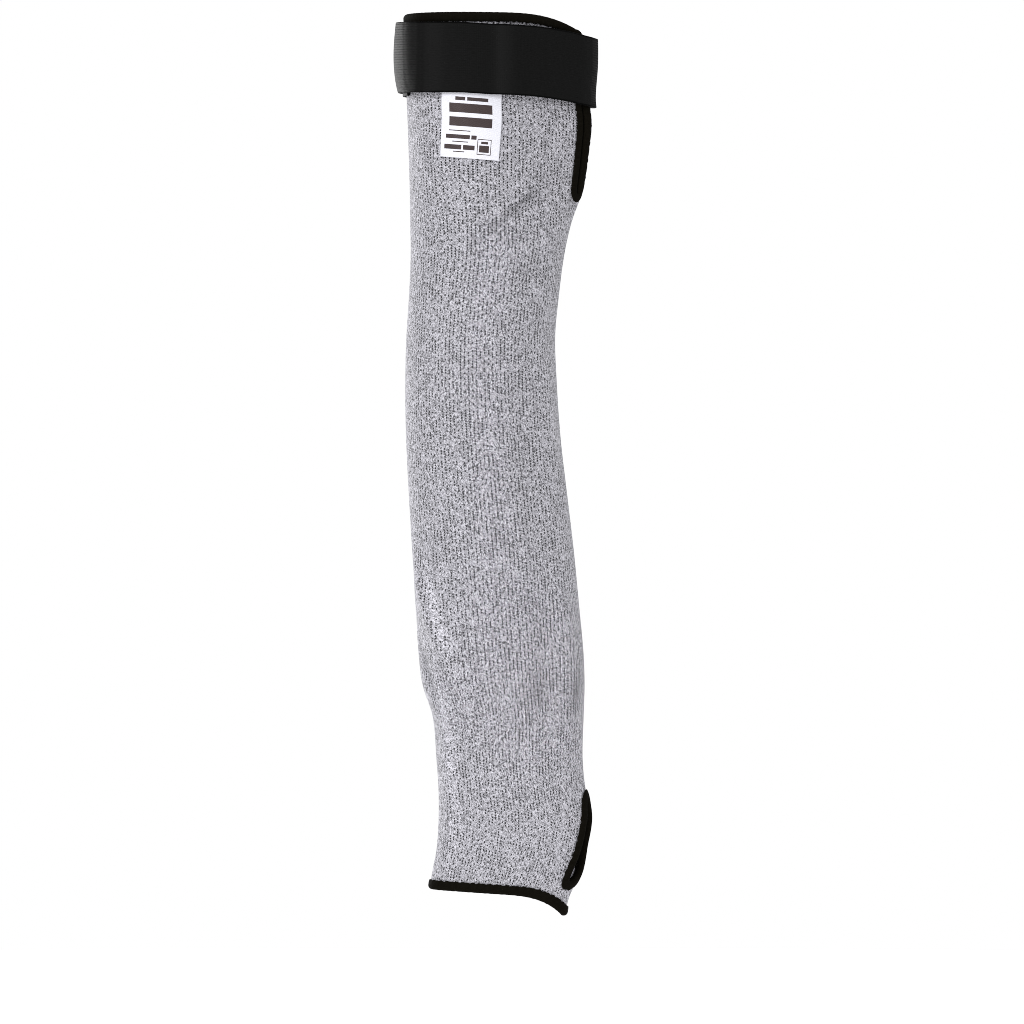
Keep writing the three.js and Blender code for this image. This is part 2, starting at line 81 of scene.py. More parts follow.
camera_data = bpy.data.cameras.new("camera")
camera_data.sensor_width = sensor_millimetres
camera_data.lens = sensor_millimetres * camera_distance / view_width
camera_data.clip_end = 100
camera = bpy.data.objects.new("camera", camera_data)
camera.location = (camera_aside, -camera_distance, camera_height)
camera.rotation_euler = (math.radians(90), 0, 0)
bpy.context.scene.collection.objects.link(camera)
bpy.context.scene.camera = camera
bpy.context.scene.view_settings.view_transform = "Standard"
bpy.context.scene.cycles.filter_width = 0.9


# Studio. A pale floor a little below the hem in an even white surround, with broad soft
# lights in front and overhead, and a smaller one behind each side: the one behind the
# elbow side draws a bright rim along it.
floor_drop = 0.06
floor_radius = 1.4
floor_tone = 0.9
floor_glow = 0.35
surround_seen = 1.0
surround_light = 0.58
white_light = (1, 1, 1, 1)

sleeve_low, sleeve_high = cad_box
bpy.ops.object.select_all(action="DESELECT")
bpy.ops.mesh.primitive_circle_add(
    vertices=96,
    radius=floor_radius,
    fill_type="NGON",
    location=(0, 0, sleeve_low.z - floor_drop),
)
floor = bpy.context.object
floor.name = "studio_floor"
floor_paint = bpy.data.materials.new("floor_paint")
floor_paint.use_nodes = True
floor_shader = floor_paint.node_tree.nodes["Principled BSDF"]
floor_shader.inputs["Base Color"].default_value = (floor_tone, floor_tone, floor_tone, 1)
floor_shader.inputs["Roughness"].default_value = 0.9
floor_shader.inputs["Emission Color"].default_value = white_light
floor_shader.inputs["Emission Strength"].default_value = floor_glow
floor.data.materials.append(floor_paint)

surround = bpy.data.worlds.new("surround")
surround.use_nodes = True
bpy.context.scene.world = surround
surround_nodes = surround.node_tree.nodes
surround_links = surround.node_tree.links
seen = surround_nodes.new("ShaderNodeBackground")
seen.inputs["Color"].default_value = white_light
seen.inputs["Strength"].default_value = surround_seen
lighting = surround_nodes["Background"]
lighting.inputs["Color"].default_value = white_light
lighting.inputs["Strength"].default_value = surround_light
ray = surround_nodes.new("ShaderNodeLightPath")
either = surround_nodes.new("ShaderNodeMixShader")
surround_links.new(ray.outputs["Is Camera Ray"], either.inputs["Fac"])
surround_links.new(lighting.outputs["Background"], either.inputs[1])
surround_links.new(seen.outputs["Background"], either.inputs[2])
surround_links.new(either.outputs["Shader"], surround_nodes["World Output"].inputs["Surface"])

# Each lamp's name, place, size and power; all face the middle of the sleeve
sleeve_middle = (sleeve_low + sleeve_high) / 2
for name, place, size, power in (
    ("front_light", (-0.7, -2.0, 1.1), 1.0, 31),
    ("rim_light", (-1.05, 1.5, -0.1), 0.6, 30),
    ("thumb_side_light", (1.1, 1.1, -0.5), 0.6, 9),
    ("top_light", (0.1, -0.3, 1.6), 1.2, 10),
):
    lamp_data = bpy.data.lights.new(name, "AREA")
    lamp_data.shape = "SQUARE"
    lamp_data.size = size
    lamp_data.energy = power
    lamp = bpy.data.objects.new(name, lamp_data)
    lamp.location = place
    lamp.rotation_euler = (sleeve_middle - lamp.location).to_track_quat("-Z", "Y").to_euler()
    lamp.visible_camera = False
    bpy.context.scene.collection.objects.link(lamp)


# Knitted tube. A weft-knitted cloth of grey and white heather yarn in the form that it has
# when worn: bent at the elbow, wide at the top and drawn in above the hem. It is cut open
# for the slit and for the thumb slot.
sleeve_length = 0.489
worn_width = 0.103
knit_thickness = 0.0018
gap = 0.0005
binding_width = 0.005
binding_wall = 0.0008
strap_width = 0.038
strap_clear = 0.0024
top = binding_width + strap_clear + strap_width / 2
bottom = top - sleeve_length
binding_inset = binding_wall + gap

# Outline of the worn sleeve, from the top edge down as shares of its length: how far it
# reaches to the elbow side and to the thumb side, its depth and how far its middle leans
# to the inner side, as shares of its width, and how sharply the thumb side is pinched.
outline = np.array([
    (0.0, 0.503, 0.475, 0.93, 0.0, 0.7),
    (0.053, 0.503, 0.478, 0.93, 0.0, 0.7),
    (0.095, 0.498, 0.466, 0.92, 0.0, 0.7),
    (0.12, 0.493, 0.478, 0.91, 0.0, 0.7),
    (0.15, 0.488, 0.464, 0.9, 0.0, 0.66),
    (0.197, 0.482, 0.426, 0.85, 0.0, 0.5),
    (0.23, 0.48, 0.372, 0.82, 0.004, 0.15),
    (0.263, 0.477, 0.336, 0.8, 0.008, 0),
    (0.308, 0.485, 0.307, 0.785, 0.014, 0),
    (0.363, 0.501, 0.288, 0.78, 0.018, 0),
    (0.418, 0.506, 0.296, 0.775, 0.02, 0),
    (0.473, 0.501, 0.315, 0.78, 0.018, 0),
    (0.529, 0.488, 0.346, 0.78, 0.014, 0),
    (0.595, 0.467, 0.383, 0.76, 0.006, 0),
    (0.662, 0.451, 0.414, 0.72, -0.002, 0),
    (0.711, 0.435, 0.435, 0.68, -0.01, 0),
    (0.744, 0.414, 0.44, 0.64, -0.016, 0),
    (0.778, 0.362, 0.435, 0.59, -0.022, 0),
    (0.827, 0.341, 0.43, 0.52, -0.028, 0),
    (0.861, 0.33, 0.446, 0.48, -0.03, 0),
    (0.894, 0.33, 0.482, 0.465, -0.03, 0),
    (0.927, 0.341, 0.458, 0.45, -0.03, 0),
    (0.958, 0.368, 0.405, 0.43, -0.03, 0),
    (0.978, 0.374, 0.361, 0.41, -0.03, 0),
    (1.0, 0.375, 0.334, 0.39, -0.03, 0),
])
ridge_share = 0.7
ridge_softness = 0.13
pinch_made_up = 0.25

# Soft folds: how far down the sleeve, how far round it from the thumb side over the outer
# side, how tall and wide, how far they lean round, and their lift, out for + and in for -
folds = (
    (0.67, 0.408, 0.06, 0.024, -0.045, 0.04),
    (0.72, 0.452, 0.04, 0.02, -0.03, -0.018),
    (0.86, 0.423, 0.1, 0.03, 0.01, 0.02),
    (0.71, 0.144, 0.07, 0.03, -0.008, -0.021),
    (0.71, 0.086, 0.07, 0.03, -0.008, 0.014),
    (0.36, 0.08, 0.03, 0.08, 0.02, -0.01),
    (0.235, 0.15, 0.05, 0.045, 0.05, -0.012),
    (0.219, 0.172, 0.022, 0.03, 0.078, -0.022),
    (0.283, 0.15, 0.022, 0.035, 0.02, -0.016),
    (0.5, 0.163, 0.12, 0.028, -0.02, -0.014),
    (0.45, 0.08, 0.1, 0.03, -0.02, 0.012),
    (0.935, 0.14, 0.03, 0.04, 0.02, -0.012),
    (0.7, 0.78, 0.1, 0.05, 0.02, -0.014),
    (0.8, 0.66, 0.08, 0.04, -0.02, 0.012),
)

# The edges dip on the thumb side: an even slope, a dip, and the power that it grows by
top_edge = (0, 0.136, 3)
strap_line = (0.009, 0.048, 2)
hem_edge = (0.023, 0.093, 3)


def smooth_rows(rows, at):
    """The columns of a table at places between its rows, on a smooth curve."""
    keys = rows[:, 0]
    last = len(keys) - 1
    at = np.clip(at, keys[0], keys[-1])
    after = np.clip(np.searchsorted(keys, at, side="right"), 1, last)
    before = after - 1
    start, end = keys[before], keys[after]
    earlier = np.where(before > 0, before - 1, after)
    later = np.where(after < last, after + 1, before)
    share = (at - start) / (end - start)
    pull_back = (end - start) / 2 / (start - keys[earlier])
    pull_on = (end - start) / 2 / (keys[later] - end)
    weights = (
        -pull_back * share**3 + 2 * pull_back * share**2 - pull_back * share,
        (1 + pull_back) * share**3 - (1.5 + 2 * pull_back) * share**2
        - (0.5 - pull_back) * share + 1,
        -(1 + pull_on) * share**3 + (1.5 + pull_on) * share**2 + 0.5 * share,
        pull_on * share**3 - pull_on * share**2,
    )
    places = (earlier, before, after, later)
    return sum(w[:, None] * rows[p, 1:] for w, p in zip(weights, places)).T


def edge_drop(edge, reach):
    """How far an edge lies below its highest place, at a reach towards the thumb side."""
    slope, dip, power = edge
    return (slope * (1 + reach) + dip * np.maximum(0, reach) ** power) * worn_width


def top_height(reach):
    return top - edge_drop(top_edge, reach)


def hem_height(reach):
    return bottom + edge_drop(hem_edge, 1) - edge_drop(hem_edge, reach)


def strap_height(reach):
    return edge_drop(strap_line, 0) - edge_drop(strap_line, reach)


# The cloth's middle surface as a fine table of points, level by level and round each
# level at even distances, with the normals of the folded cloth
level_step = 0.0005
level_margin = 0.005
shares_round = 1000
corners_round = 240
normal_reach = 4
levels = np.arange(top + level_margin, bottom - level_margin, -level_step)
last_row = len(levels) - 1.001
elbow, thumb, depth, toward, pinch = smooth_rows(outline, (top - levels) / sleeve_length)
centre_x = (thumb - elbow) / 2 * worn_width
half_x = (thumb + elbow) / 2 * worn_width - knit_thickness / 2
half_y = (depth * worn_width - knit_thickness) / 2
angle = np.linspace(0, 2 * math.pi, corners_round + 1)[None, :]
sine = np.sin(angle / 2)
fall = np.hypot(sine, ridge_softness) - ridge_softness
fall_end = math.hypot(1, ridge_softness) - ridge_softness
sharp = (pinch * ridge_share)[:, None]
pinched = pinch[:, None]
reach_out = np.cos(angle) * (1 - sharp) + (1 - 2 * fall / fall_end) * sharp
narrowing = (1 - pinched + pinched * sine) / (1 - pinched * pinch_made_up)
corner_x = centre_x[:, None] + half_x[:, None] * reach_out
corner_y = toward[:, None] * worn_width - half_y[:, None] * np.sin(angle) * narrowing
steps = np.hypot(np.diff(corner_x, axis=1), np.diff(corner_y, axis=1))
lengths = np.concatenate([np.zeros((len(levels), 1)), np.cumsum(steps, axis=1)], axis=1)
perimeters = lengths[:, -1]
round_shares = np.arange(shares_round) / shares_round
plain = np.empty((len(levels), shares_round, 3))
for level in range(len(levels)):
    wanted = round_shares * perimeters[level]
    plain[level, :, 0] = np.interp(wanted, lengths[level], corner_x[level])
    plain[level, :, 1] = np.interp(wanted, lengths[level], corner_y[level])
    plain[level, :, 2] = levels[level]


def outward(surface):
    """The normals of a table of points."""
    onward = np.roll(surface, -normal_reach, axis=1) - np.roll(surface, normal_reach, axis=1)
    upward = np.gradient(surface, axis=0) * -1
    normals = np.cross(upward, onward)
    return normals / np.linalg.norm(normals, axis=2, keepdims=True)


lift = np.zeros((len(levels), shares_round))
for down, at, tall, wide, lean, height in folds:
    along = ((top - levels) / sleeve_length - down)[:, None] / tall
    across = round_shares[None, :] - at - lean * along
    across = (across - np.round(across)) / wide
    lift += height * worn_width * np.exp(-(along**2 + across**2))
cloth = plain + outward(plain) * lift[:, :, None]
cloth_normals = outward(cloth)


def from_table(table, around, z):
    """The value of a table at shares of the way round and heights, between its entries."""
    column = np.mod(around, 1) * shares_round
    row = np.clip((levels[0] - z) / level_step, 0, last_row)
    left = np.floor(column).astype(int)
    upper = np.floor(row).astype(int)
    right = (left + 1) % shares_round
    left = left % shares_round
    s = (column - np.floor(column))[..., None]
    t = (row - upper)[..., None]
    above = table[upper, left] * (1 - s) + table[upper, right] * s
    below = table[upper + 1, left] * (1 - s) + table[upper + 1, right] * s
    return above * (1 - t) + below * t


def skin(around, z, out):
    """Points that lie out from the middle of the cloth."""
    normals = from_table(cloth_normals, around, z)
    normals /= np.linalg.norm(normals, axis=-1, keepdims=True)
    return from_table(cloth, around, z) + normals * np.asarray(out)[..., None]


def perimeter_at(z):
    """The way round the sleeve at a height."""
    return np.interp(-np.asarray(z), -levels, perimeters)


def reach_at(around, z):
    """How far a place lies towards the thumb side: 1 there and -1 at the elbow side."""
    across = from_table(plain, around, z)[..., 0]
    centre = np.interp(-np.asarray(z), -levels, centre_x)
    half = np.interp(-np.asarray(z), -levels, half_x)
    return np.clip((across - centre) / half, -1, 1)


def laid_out(name, columns, rows, place, unit):
    """A grid whose corners are laid out by place(u, v); its UV map is u, v times unit."""
    bpy.ops.object.select_all(action="DESELECT")
    bpy.ops.mesh.primitive_grid_add(x_subdivisions=columns, y_subdivisions=rows, size=1)
    piece = bpy.context.object
    piece.name = name
    mesh = piece.data
    flat = np.empty(len(mesh.vertices) * 3)
    mesh.vertices.foreach_get("co", flat)
    u, v = flat.reshape(-1, 3)[:, 0] + 0.5, 0.5 - flat.reshape(-1, 3)[:, 1]
    corner = np.empty(len(mesh.loops), dtype=int)
    mesh.loops.foreach_get("vertex_index", corner)
    marks = np.stack([u[corner] * unit[0], v[corner] * unit[1]], axis=1)
    mesh.uv_layers[0].data.foreach_set("uv", marks.ravel())
    mesh.vertices.foreach_set("co", place(u, v).ravel())
    return piece


def sewn_up(piece):
    """Joins a grid's edges where they meet and turns its faces outwards."""
    bpy.ops.object.select_all(action="DESELECT")
    piece.select_set(True)
    bpy.context.view_layer.objects.active = piece
    bpy.ops.object.mode_set(mode="EDIT")
    bpy.ops.mesh.select_all(action="SELECT")
    bpy.ops.mesh.remove_doubles(threshold=1e-6)
    bpy.ops.mesh.normals_make_consistent(inside=False)
    bpy.ops.object.mode_set(mode="OBJECT")
    bpy.ops.object.shade_smooth()


def finished(piece, kind, **settings):
    """Adds a modifier to a piece and applies it."""
    bpy.context.view_layer.objects.active = piece
    modifier = piece.modifiers.new(kind.lower(), kind)
    for name, value in settings.items():
        setattr(modifier, name, value)
    bpy.ops.object.modifier_apply(modifier=modifier.name)


wales = 116
courses = 440
knit_grid = 200


def knit_place(u, v):
    upper = top_height(reach_at(u, np.full_like(u, top))) - binding_inset
    lower = hem_height(reach_at(u, np.full_like(u, bottom))) + binding_inset
    return skin(u, upper + (lower - upper) * v, np.zeros_like(u))


knit = laid_out("knitted_cloth", knit_grid, knit_grid, knit_place, (wales, courses))
sewn_up(knit)
finished(knit, "SOLIDIFY", thickness=knit_thickness, offset=0, use_even_offset=True)

# Slit at the top, on the thumb side, and the thumb slot above the hem
slit_length = 0.1015
slit_from_ridge = 0.00225
slit_seam = 0.0005
slit_corner = 0.004
slit_centre = slit_from_ridge + binding_width + slit_seam / 2
slit_half = binding_inset + slit_seam / 2
slit_round = top - slit_length + binding_width - binding_inset + slit_half
slot_length = 0.046
slot_width = 0.018
slot_centre = 0.0025
slot_above_hem = 0.017
slot_lean = 0.007
slot_middle = hem_height(1) + binding_inset + slot_above_hem + slot_length / 2
cutter_thickness = knit_thickness * 3
cutter_columns = 8
slit_cut = 0.99
slot_cut = 0.015


def slit_top(side):
    """How high the slit's edge is where it meets the top edge, on either side."""
    at = (slit_centre + side * (slit_half + slit_corner)) / perimeter_at(top)
    return float(top_height(reach_at(np.array([at]), np.array([top])))[0]) - binding_inset


def slit_half_at(z, side):
    """Half the slit's width: round at its foot, straight, and flared at its top corners."""
    below = slit_round - z
    round_end = np.sqrt(np.maximum(0, slit_half**2 - np.maximum(below, 0) ** 2))
    into = np.maximum(0, z - (slit_top(side) - slit_corner))
    sides = slit_half + slit_corner - np.sqrt(np.maximum(0, slit_corner**2 - into**2))
    return np.where(below > 0, round_end, sides)


def slot_edge(rise, side):
    """A place on the thumb slot's edge; rise runs from -1 at its foot to 1 at its top."""
    centre = slot_centre + slot_lean * np.maximum(0, -rise) ** 2
    half = slot_width / 2 * np.sqrt(np.maximum(0, 1 - rise * rise))
    return centre + side * half, slot_middle + rise * slot_length / 2


def slit_place(u, v):
    high = top + binding_width
    low = slit_round - slit_half * slit_cut
    z = high + (low - high) * v
    share = 2 * u - 1
    half = np.where(share < 0, slit_half_at(z, -1), slit_half_at(z, 1))
    return skin((slit_centre + half * share) / perimeter_at(z), z, np.zeros_like(u))


def slot_place(u, v):
    rise = np.cos(math.pi * (slot_cut + (1 - 2 * slot_cut) * v))
    distance, z = slot_edge(rise, 2 * u - 1)
    return skin(distance / perimeter_at(z), z, np.zeros_like(u))


for name, rows, place in (("slit_cutter", 150, slit_place), ("slot_cutter", 60, slot_place)):
    cutter = laid_out(name, cutter_columns, rows, place, (1, 1))
    sewn_up(cutter)
    finished(cutter, "SOLIDIFY", thickness=cutter_thickness, offset=0)
    finished(knit, "BOOLEAN", operation="DIFFERENCE", object=cutter, solver="EXACT")
    bpy.data.objects.remove(cutter)


class Wire:
    """An output socket in a material. Arithmetic on it adds Math nodes."""

    def __init__(self, tree, socket):
        self.tree = tree
        self.socket = socket

    def node(self, kind, settings=(), inputs=(), output=0):
        """Adds a node: its type, its settings, and the values or links of its sockets."""
        made = self.tree.nodes.new("ShaderNode" + kind)
        for name, value in dict(settings).items():
            if name == "steps":
                ramp = made.color_ramp
                ramp.interpolation = "CONSTANT"
                ramp.elements.remove(ramp.elements[1])
                for place, shade in value[1:]:
                    ramp.elements.new(place).color = (shade, shade, shade, 1)
            else:
                setattr(made, name, value)
        for name, value in dict(inputs).items():
            if isinstance(value, Wire):
                self.tree.links.new(value.socket, made.inputs[name])
            else:
                made.inputs[name].default_value = value
        return Wire(self.tree, made.outputs[output])

    def math(self, operation, *values):
        return self.node("Math", {"operation": operation}, enumerate(values))

    def __add__(self, other):
        return self.math("ADD", self, other)

    def __radd__(self, other):
        return self.math("ADD", other, self)

    def __sub__(self, other):
        return self.math("SUBTRACT", self, other)

    def __rsub__(self, other):
        return self.math("SUBTRACT", other, self)

    def __mul__(self, other):
        return self.math("MULTIPLY", self, other)

    def __rmul__(self, other):
        return self.math("MULTIPLY", other, self)

    def __truediv__(self, other):
        return self.math("DIVIDE", self, other)

    def __abs__(self):
        return self.math("ABSOLUTE", self)

    def floor(self):
        return self.math("FLOOR", self)

    def fract(self):
        return self.math("FRACT", self)

    def sine(self):
        return self.math("SINE", self)

    def exponent(self):
        return self.math("EXPONENT", self)

    def above(self, other):
        return self.math("GREATER_THAN", self, other)

    def at_least(self, other):
        return self.math("MAXIMUM", self, other)

    def smooth(self, low, high):
        settings = {"interpolation_type": "SMOOTHSTEP"}
        return self.node("MapRange", settings, {"Value": self, "From Min": low, "From Max": high})

    def place(self, y, z=0.0):
        return self.node("CombineXYZ", (), {"X": self, "Y": y, "Z": z})

    def random(self):
        """A random number for each place that differs."""
        return self.node("TexWhiteNoise", (), {"Vector": self})

    def noise(self, detail):
        """A soft noise whose patches are about one unit of this place across."""
        return self.node("TexNoise", (), {"Vector": self, "Scale": 1.0, "Detail": detail})

    def tint(self, first, second):
        """The first colour where this is 0, the second where it is 1."""
        settings = {"data_type": "RGBA", "blend_type": "MIX"}
        inputs = {0: self, 6: first, 7: second}
        return self.node("Mix", settings, inputs, output=2)

    def to(self, name):
        """Feeds this to a socket of the material's shader."""
        shader = self.tree.nodes["Principled BSDF"]
        self.tree.links.new(self.socket, shader.inputs[name])

    def relief(self, depth):
        """Feeds this to the shader's normal as a height, depth metres from 0 to 1."""
        inputs = {"Height": self, "Distance": depth, "Strength": 1.0}
        self.node("Bump", (), inputs).to("Normal")


def cloth_material(name, **constants):
    """A new material with constant values on its shader, and its UV map as two wires."""
    material = bpy.data.materials.new(name)
    material.use_nodes = True
    tree = material.node_tree
    shader = tree.nodes["Principled BSDF"]
    for socket, value in constants.items():
        shader.inputs[socket.replace("_", " ")].default_value = value
    start = Wire(tree, None)
    marks = start.node("UVMap", {"uv_map": "UVMap"})
    across = marks.node("SeparateXYZ", (), {"Vector": marks}, output=0)
    along = marks.node("SeparateXYZ", (), {"Vector": marks}, output=1)
    return material, across, along


# Each wale is a column of V shaped stitches of a light two-ply yarn, whose fibres differ
# in tone. The dark yarn that is plated behind it shows as short dashes in the grooves
# between the wales, more of them in some places than in others. Lengths here are counted
# in wales and courses, and tones and heights run from 0 to 1.
knit_cloth, wale, course = cloth_material(
    "heather_knit",
    Roughness=0.95,
    Sheen_Weight=0.1,
    Specular_IOR_Level=0.2,
)
stitch_slope = 0.75
fibres_in_wale = 4
fibres_in_course = 2.3
dashes_in_course = 0.75
dash_stagger = 0.23
dash_lean = 0.5
dash_sides = (0.11, 0.22)
dash_ends = (0.35, 0.7)
dash_chance = (0.42, 0.5)
cluster_round, cluster_down = 0.16, 0.07
cluster_detail = 2.0
cluster_chance = 0.55
# How far the painted fold highlight and shade thin out or add to the dark dashes
fold_light_on_dashes = 0.8
groove_sides = (0.55, 0.75)
groove_depth = 0.5
dash_depth = 0.3
knit_relief = 0.00015
plain_tone = 0.05
fibre_tone = 0.53
stitch_tone = 0.12
dash_cover = 0.97
darkest_tone = 0.015
knit_tint = (0.985, 0.97, 1.06, 1)
fibre_draw, lean_draw, dash_draw = 9.0, 7.0, 3.0

# Painted highlight and painted shade along the folds: bands lighter where a fold's flank would
# catch the rim light and darker where it would lie in shade. Each row gives how far round and
# down the sleeve, how tall and wide, how far it leans round, and how much lighter
painted_fold_light = None
for around, down, tall, wide, leaning, lighter in (
    (0.386, 0.69, 0.055, 0.012, -0.025, 0.32),
    (0.412, 0.85, 0.11, 0.018, 0, 0.25),
    (0.457, 0.745, 0.03, 0.02, -0.02, -0.15),
    (0.195, 0.221, 0.042, 0.018, 0.085, -0.24),
    (0.15, 0.288, 0.02, 0.035, 0.02, -0.1),
    (0.163, 0.5, 0.14, 0.025, 0, -0.08),
    (0.067, 0.43, 0.09, 0.03, 0, 0.06),
    (0.177, 0.768, 0.02, 0.022, 0.01, -0.26),
    (0.066, 0.752, 0.025, 0.018, 0.01, -0.32),
):
    along = (course / courses - down) / tall
    across = (wale / wales - around - along * leaning) / wide
    spread = along * along + across * across
    change = (spread * -1).exponent() * lighter
    painted_fold_light = change if painted_fold_light is None else painted_fold_light + change

# Stitches: each half of a wale is one leg of the V, rising from its middle to its edge
aside = abs(wale.fract() - 0.5) * 2
leg = course + aside * stitch_slope
leg_tone = (wale * 2).floor().place(leg.floor()).random()
fibre = (wale * fibres_in_wale).floor().place((leg * fibres_in_course).floor(), fibre_draw)
round_yarn = (leg.fract() * math.pi).sine()
stitches = round_yarn * (1 - aside.smooth(*groove_sides) * groove_depth)

# Dashes: one place for each in every groove, a little higher from groove to groove, each
# leaning its own way and showing or not by chance
groove = (wale + 0.5).floor()
dash_row = course * dashes_in_course + groove * dash_stagger
lean = groove.place(dash_row.floor(), lean_draw).random() - 0.5
shift = (dash_row.fract() - 0.5) * lean * dash_lean
across_dash = abs((wale + 0.5).fract() - 0.5 + shift).smooth(*dash_sides)
along_dash = (dash_row.fract() * math.pi).sine().smooth(*dash_ends)
clusters = (wale * cluster_round).place(course * cluster_down).noise(cluster_detail)
# The painted fold highlight and shade also thin the dark dashes where they are lighter and add
# dashes where they are darker
showing = (clusters - 0.5) * cluster_chance - painted_fold_light * fold_light_on_dashes
chance = groove.place(dash_row.floor(), dash_draw).random() + showing
dashes = chance.smooth(*dash_chance) * along_dash * (1 - across_dash)

yarn = plain_tone + fibre.random() * fibre_tone + leg_tone * stitch_tone
# The yarn's tone, times the painted fold highlight and painted shade
lit = (yarn * (1 - dashes * dash_cover)).at_least(darkest_tone) * (painted_fold_light + 1)
knit_colour = lit.node(
    "Mix",
    {"data_type": "RGBA", "blend_type": "MULTIPLY"},
    {0: 1.0, 6: knit_tint, 7: lit},
    output=2,
)
knit_colour.to("Base Color")
(stitches - dashes * dash_depth).relief(knit_relief)
knit.data.materials.clear()
knit.data.materials.append(knit_cloth)
bpy.context.view_layer.objects.active = knit
knit.select_set(True)
bpy.ops.object.shade_smooth_by_angle(angle=math.radians(50))
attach(knit, root)
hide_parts("knit_tube")


# Bindings. A black tape is folded over each raw edge of the knit and sewn down: round
# the top edge and down both sides of the slit in one run, round the thumb slot, and
# round the hem.
binding_thickness = knit_thickness + 2 * (gap + binding_wall)
tape_bend = binding_inset - binding_thickness / 2
tape_back = binding_inset - binding_width
tape_slot = knit_thickness / 2 + gap
tape_round = 0.014
cut_edge = binding_wall * 0.35
cut_edge_out = cut_edge * 0.4
cut_edge_in = cut_edge * 0.3
stitched_in = 0.0012
stitched_down = 0.86
stitched_full = 0.97

# The sewn edge wanders a little: how far, and its two waves in radians a metre and where
# each starts
uneven_edge = 0.00018
edge_waves = ((1340, 0), (2030, 1))

# Points along each run of tape, and how far the slit's corners are kept from the ring
slit_points = 70
corner_points = 8
ring_points = 260
hem_points = 240
slot_points = 130
corner_clear = 1.06


def tape_section():
    """Corners of the folded tape: across the edge, and out from the cloth's middle."""
    half = binding_thickness / 2
    upper = [
        (tape_back, tape_slot),
        (tape_back - cut_edge_out, tape_slot + cut_edge),
        (tape_back + cut_edge_in, half * stitched_down),
        (tape_back + stitched_in, half * stitched_full),
        (tape_bend, half),
    ]
    turn = [math.radians(a) for a in range(80, -81, -16)]
    bend = [(tape_bend + half * math.cos(a), half * math.sin(a)) for a in turn]
    lower = [(across, -out) for across, out in reversed(upper)]
    return np.array(upper + bend + lower + [(gap, -tape_slot), (gap, tape_slot)])


def tape_along(name, node, distance, z):
    """A folded tape along a closed run of places, by distance round the sleeve and z."""
    section = tape_section()
    lap = perimeter_at(z)
    along = np.roll(distance, -1) - np.roll(distance, 1)
    along -= lap * np.round(along / lap)
    rise = np.roll(z, -1) - np.roll(z, 1)
    size = np.hypot(along, rise)
    along, rise = along / size, rise / size
    lengths = np.cumsum(size / 2)
    count = len(distance)

    def place(u, v):
        i = np.round(u * count).astype(int) % count
        k = np.round(v * len(section)).astype(int) % len(section)
        p, q = section[k, 0], section[k, 1]
        wavy = sum(np.sin(lengths[i] * wave + start) for wave, start in edge_waves)
        p = p + uneven_edge * wavy * (p - gap) / (tape_back - gap)
        at = distance[i] - rise[i] * p
        height = z[i] + along[i] * p
        return skin(at / perimeter_at(height), height, q)

    tape = laid_out(name, count, len(section), place, (lengths[-1], tape_round))
    sewn_up(tape)
    tape.data.materials.append(tape_cloth)
    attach(tape, root)
    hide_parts(node)


tape_cloth, along_tape, across_tape = cloth_material(
    "binding_tape",
    Roughness=0.9,
    Specular_IOR_Level=0.01,
)
tape_weave = 1400
tape_lint = 900
lint_detail = 3.0
weave_height = 0.3
tape_relief = 0.0002
tape_dark = (0.0025, 0.002, 0.0012, 1)
tape_light = (0.0085, 0.0075, 0.0055, 1)
weave = (along_tape * tape_weave).sine() * (across_tape * tape_weave).sine()
lint = (along_tape * tape_lint).place(across_tape * tape_lint).noise(lint_detail)
lint.tint(tape_dark, tape_light).to("Base Color")
(weave * weave_height + lint).relief(tape_relief)


def slit_side(side):
    """Up one side of the slit and round the corner to the top edge."""
    corner = slit_top(side) - slit_corner
    straight = np.linspace(slit_round, corner, slit_points)
    turn = np.linspace(0, math.pi / 2, corner_points + 1)[1:-1]
    flare = slit_half + slit_corner * (1 - np.cos(turn))
    distance = np.concatenate([np.full_like(straight, slit_half), flare])
    z = np.concatenate([straight, corner + slit_corner * np.sin(turn)])
    return slit_centre + side * distance, z


def top_run():
    """Up the slit's one side, round the top edge, down its other side and round its foot."""
    up, up_z = slit_side(1)
    down, down_z = slit_side(-1)
    clear = (slit_half + slit_corner) * corner_clear
    lap = perimeter_at(top)
    first, last = (slit_centre + clear) / lap, 1 + (slit_centre - clear) / lap
    ring = np.linspace(first, last, ring_points)
    ring_z = top_height(reach_at(ring, np.full_like(ring, top))) - binding_inset
    turn = np.linspace(0, math.pi, corner_points + 2)[1:-1]
    end = slit_centre - slit_half * np.cos(turn)
    end_z = slit_round - slit_half * np.sin(turn)
    distance = np.concatenate([up, ring * perimeter_at(ring_z), down[::-1], end])
    return distance, np.concatenate([up_z, ring_z, down_z[::-1], end_z])


def hem_run():
    around = np.linspace(1, 0, hem_points, endpoint=False)
    z = hem_height(reach_at(around, np.full_like(around, bottom))) + binding_inset
    return around * perimeter_at(z), z


def slot_run():
    turn = np.linspace(0, 2 * math.pi, slot_points, endpoint=False)
    return slot_edge(-np.cos(turn), np.sign(np.sin(turn)))


tape_along("top_tape", "top_binding", *top_run())
tape_along("hem_tape", "hem_binding", *hem_run())
tape_along("thumb_slot_tape", "thumb_slot_binding", *slot_run())


# Closure strap. A band of black ribbed elastic, sewn down at its start on the elbow
# side, pulled once round the sleeve over the slit and pressed onto its own start.
strap_thickness = 0.0016
hook_thickness = 0.0007
on_knit = knit_thickness / 2 + gap
on_binding = binding_thickness / 2 + gap
on_lap = on_knit + strap_thickness + hook_thickness + 2 * gap

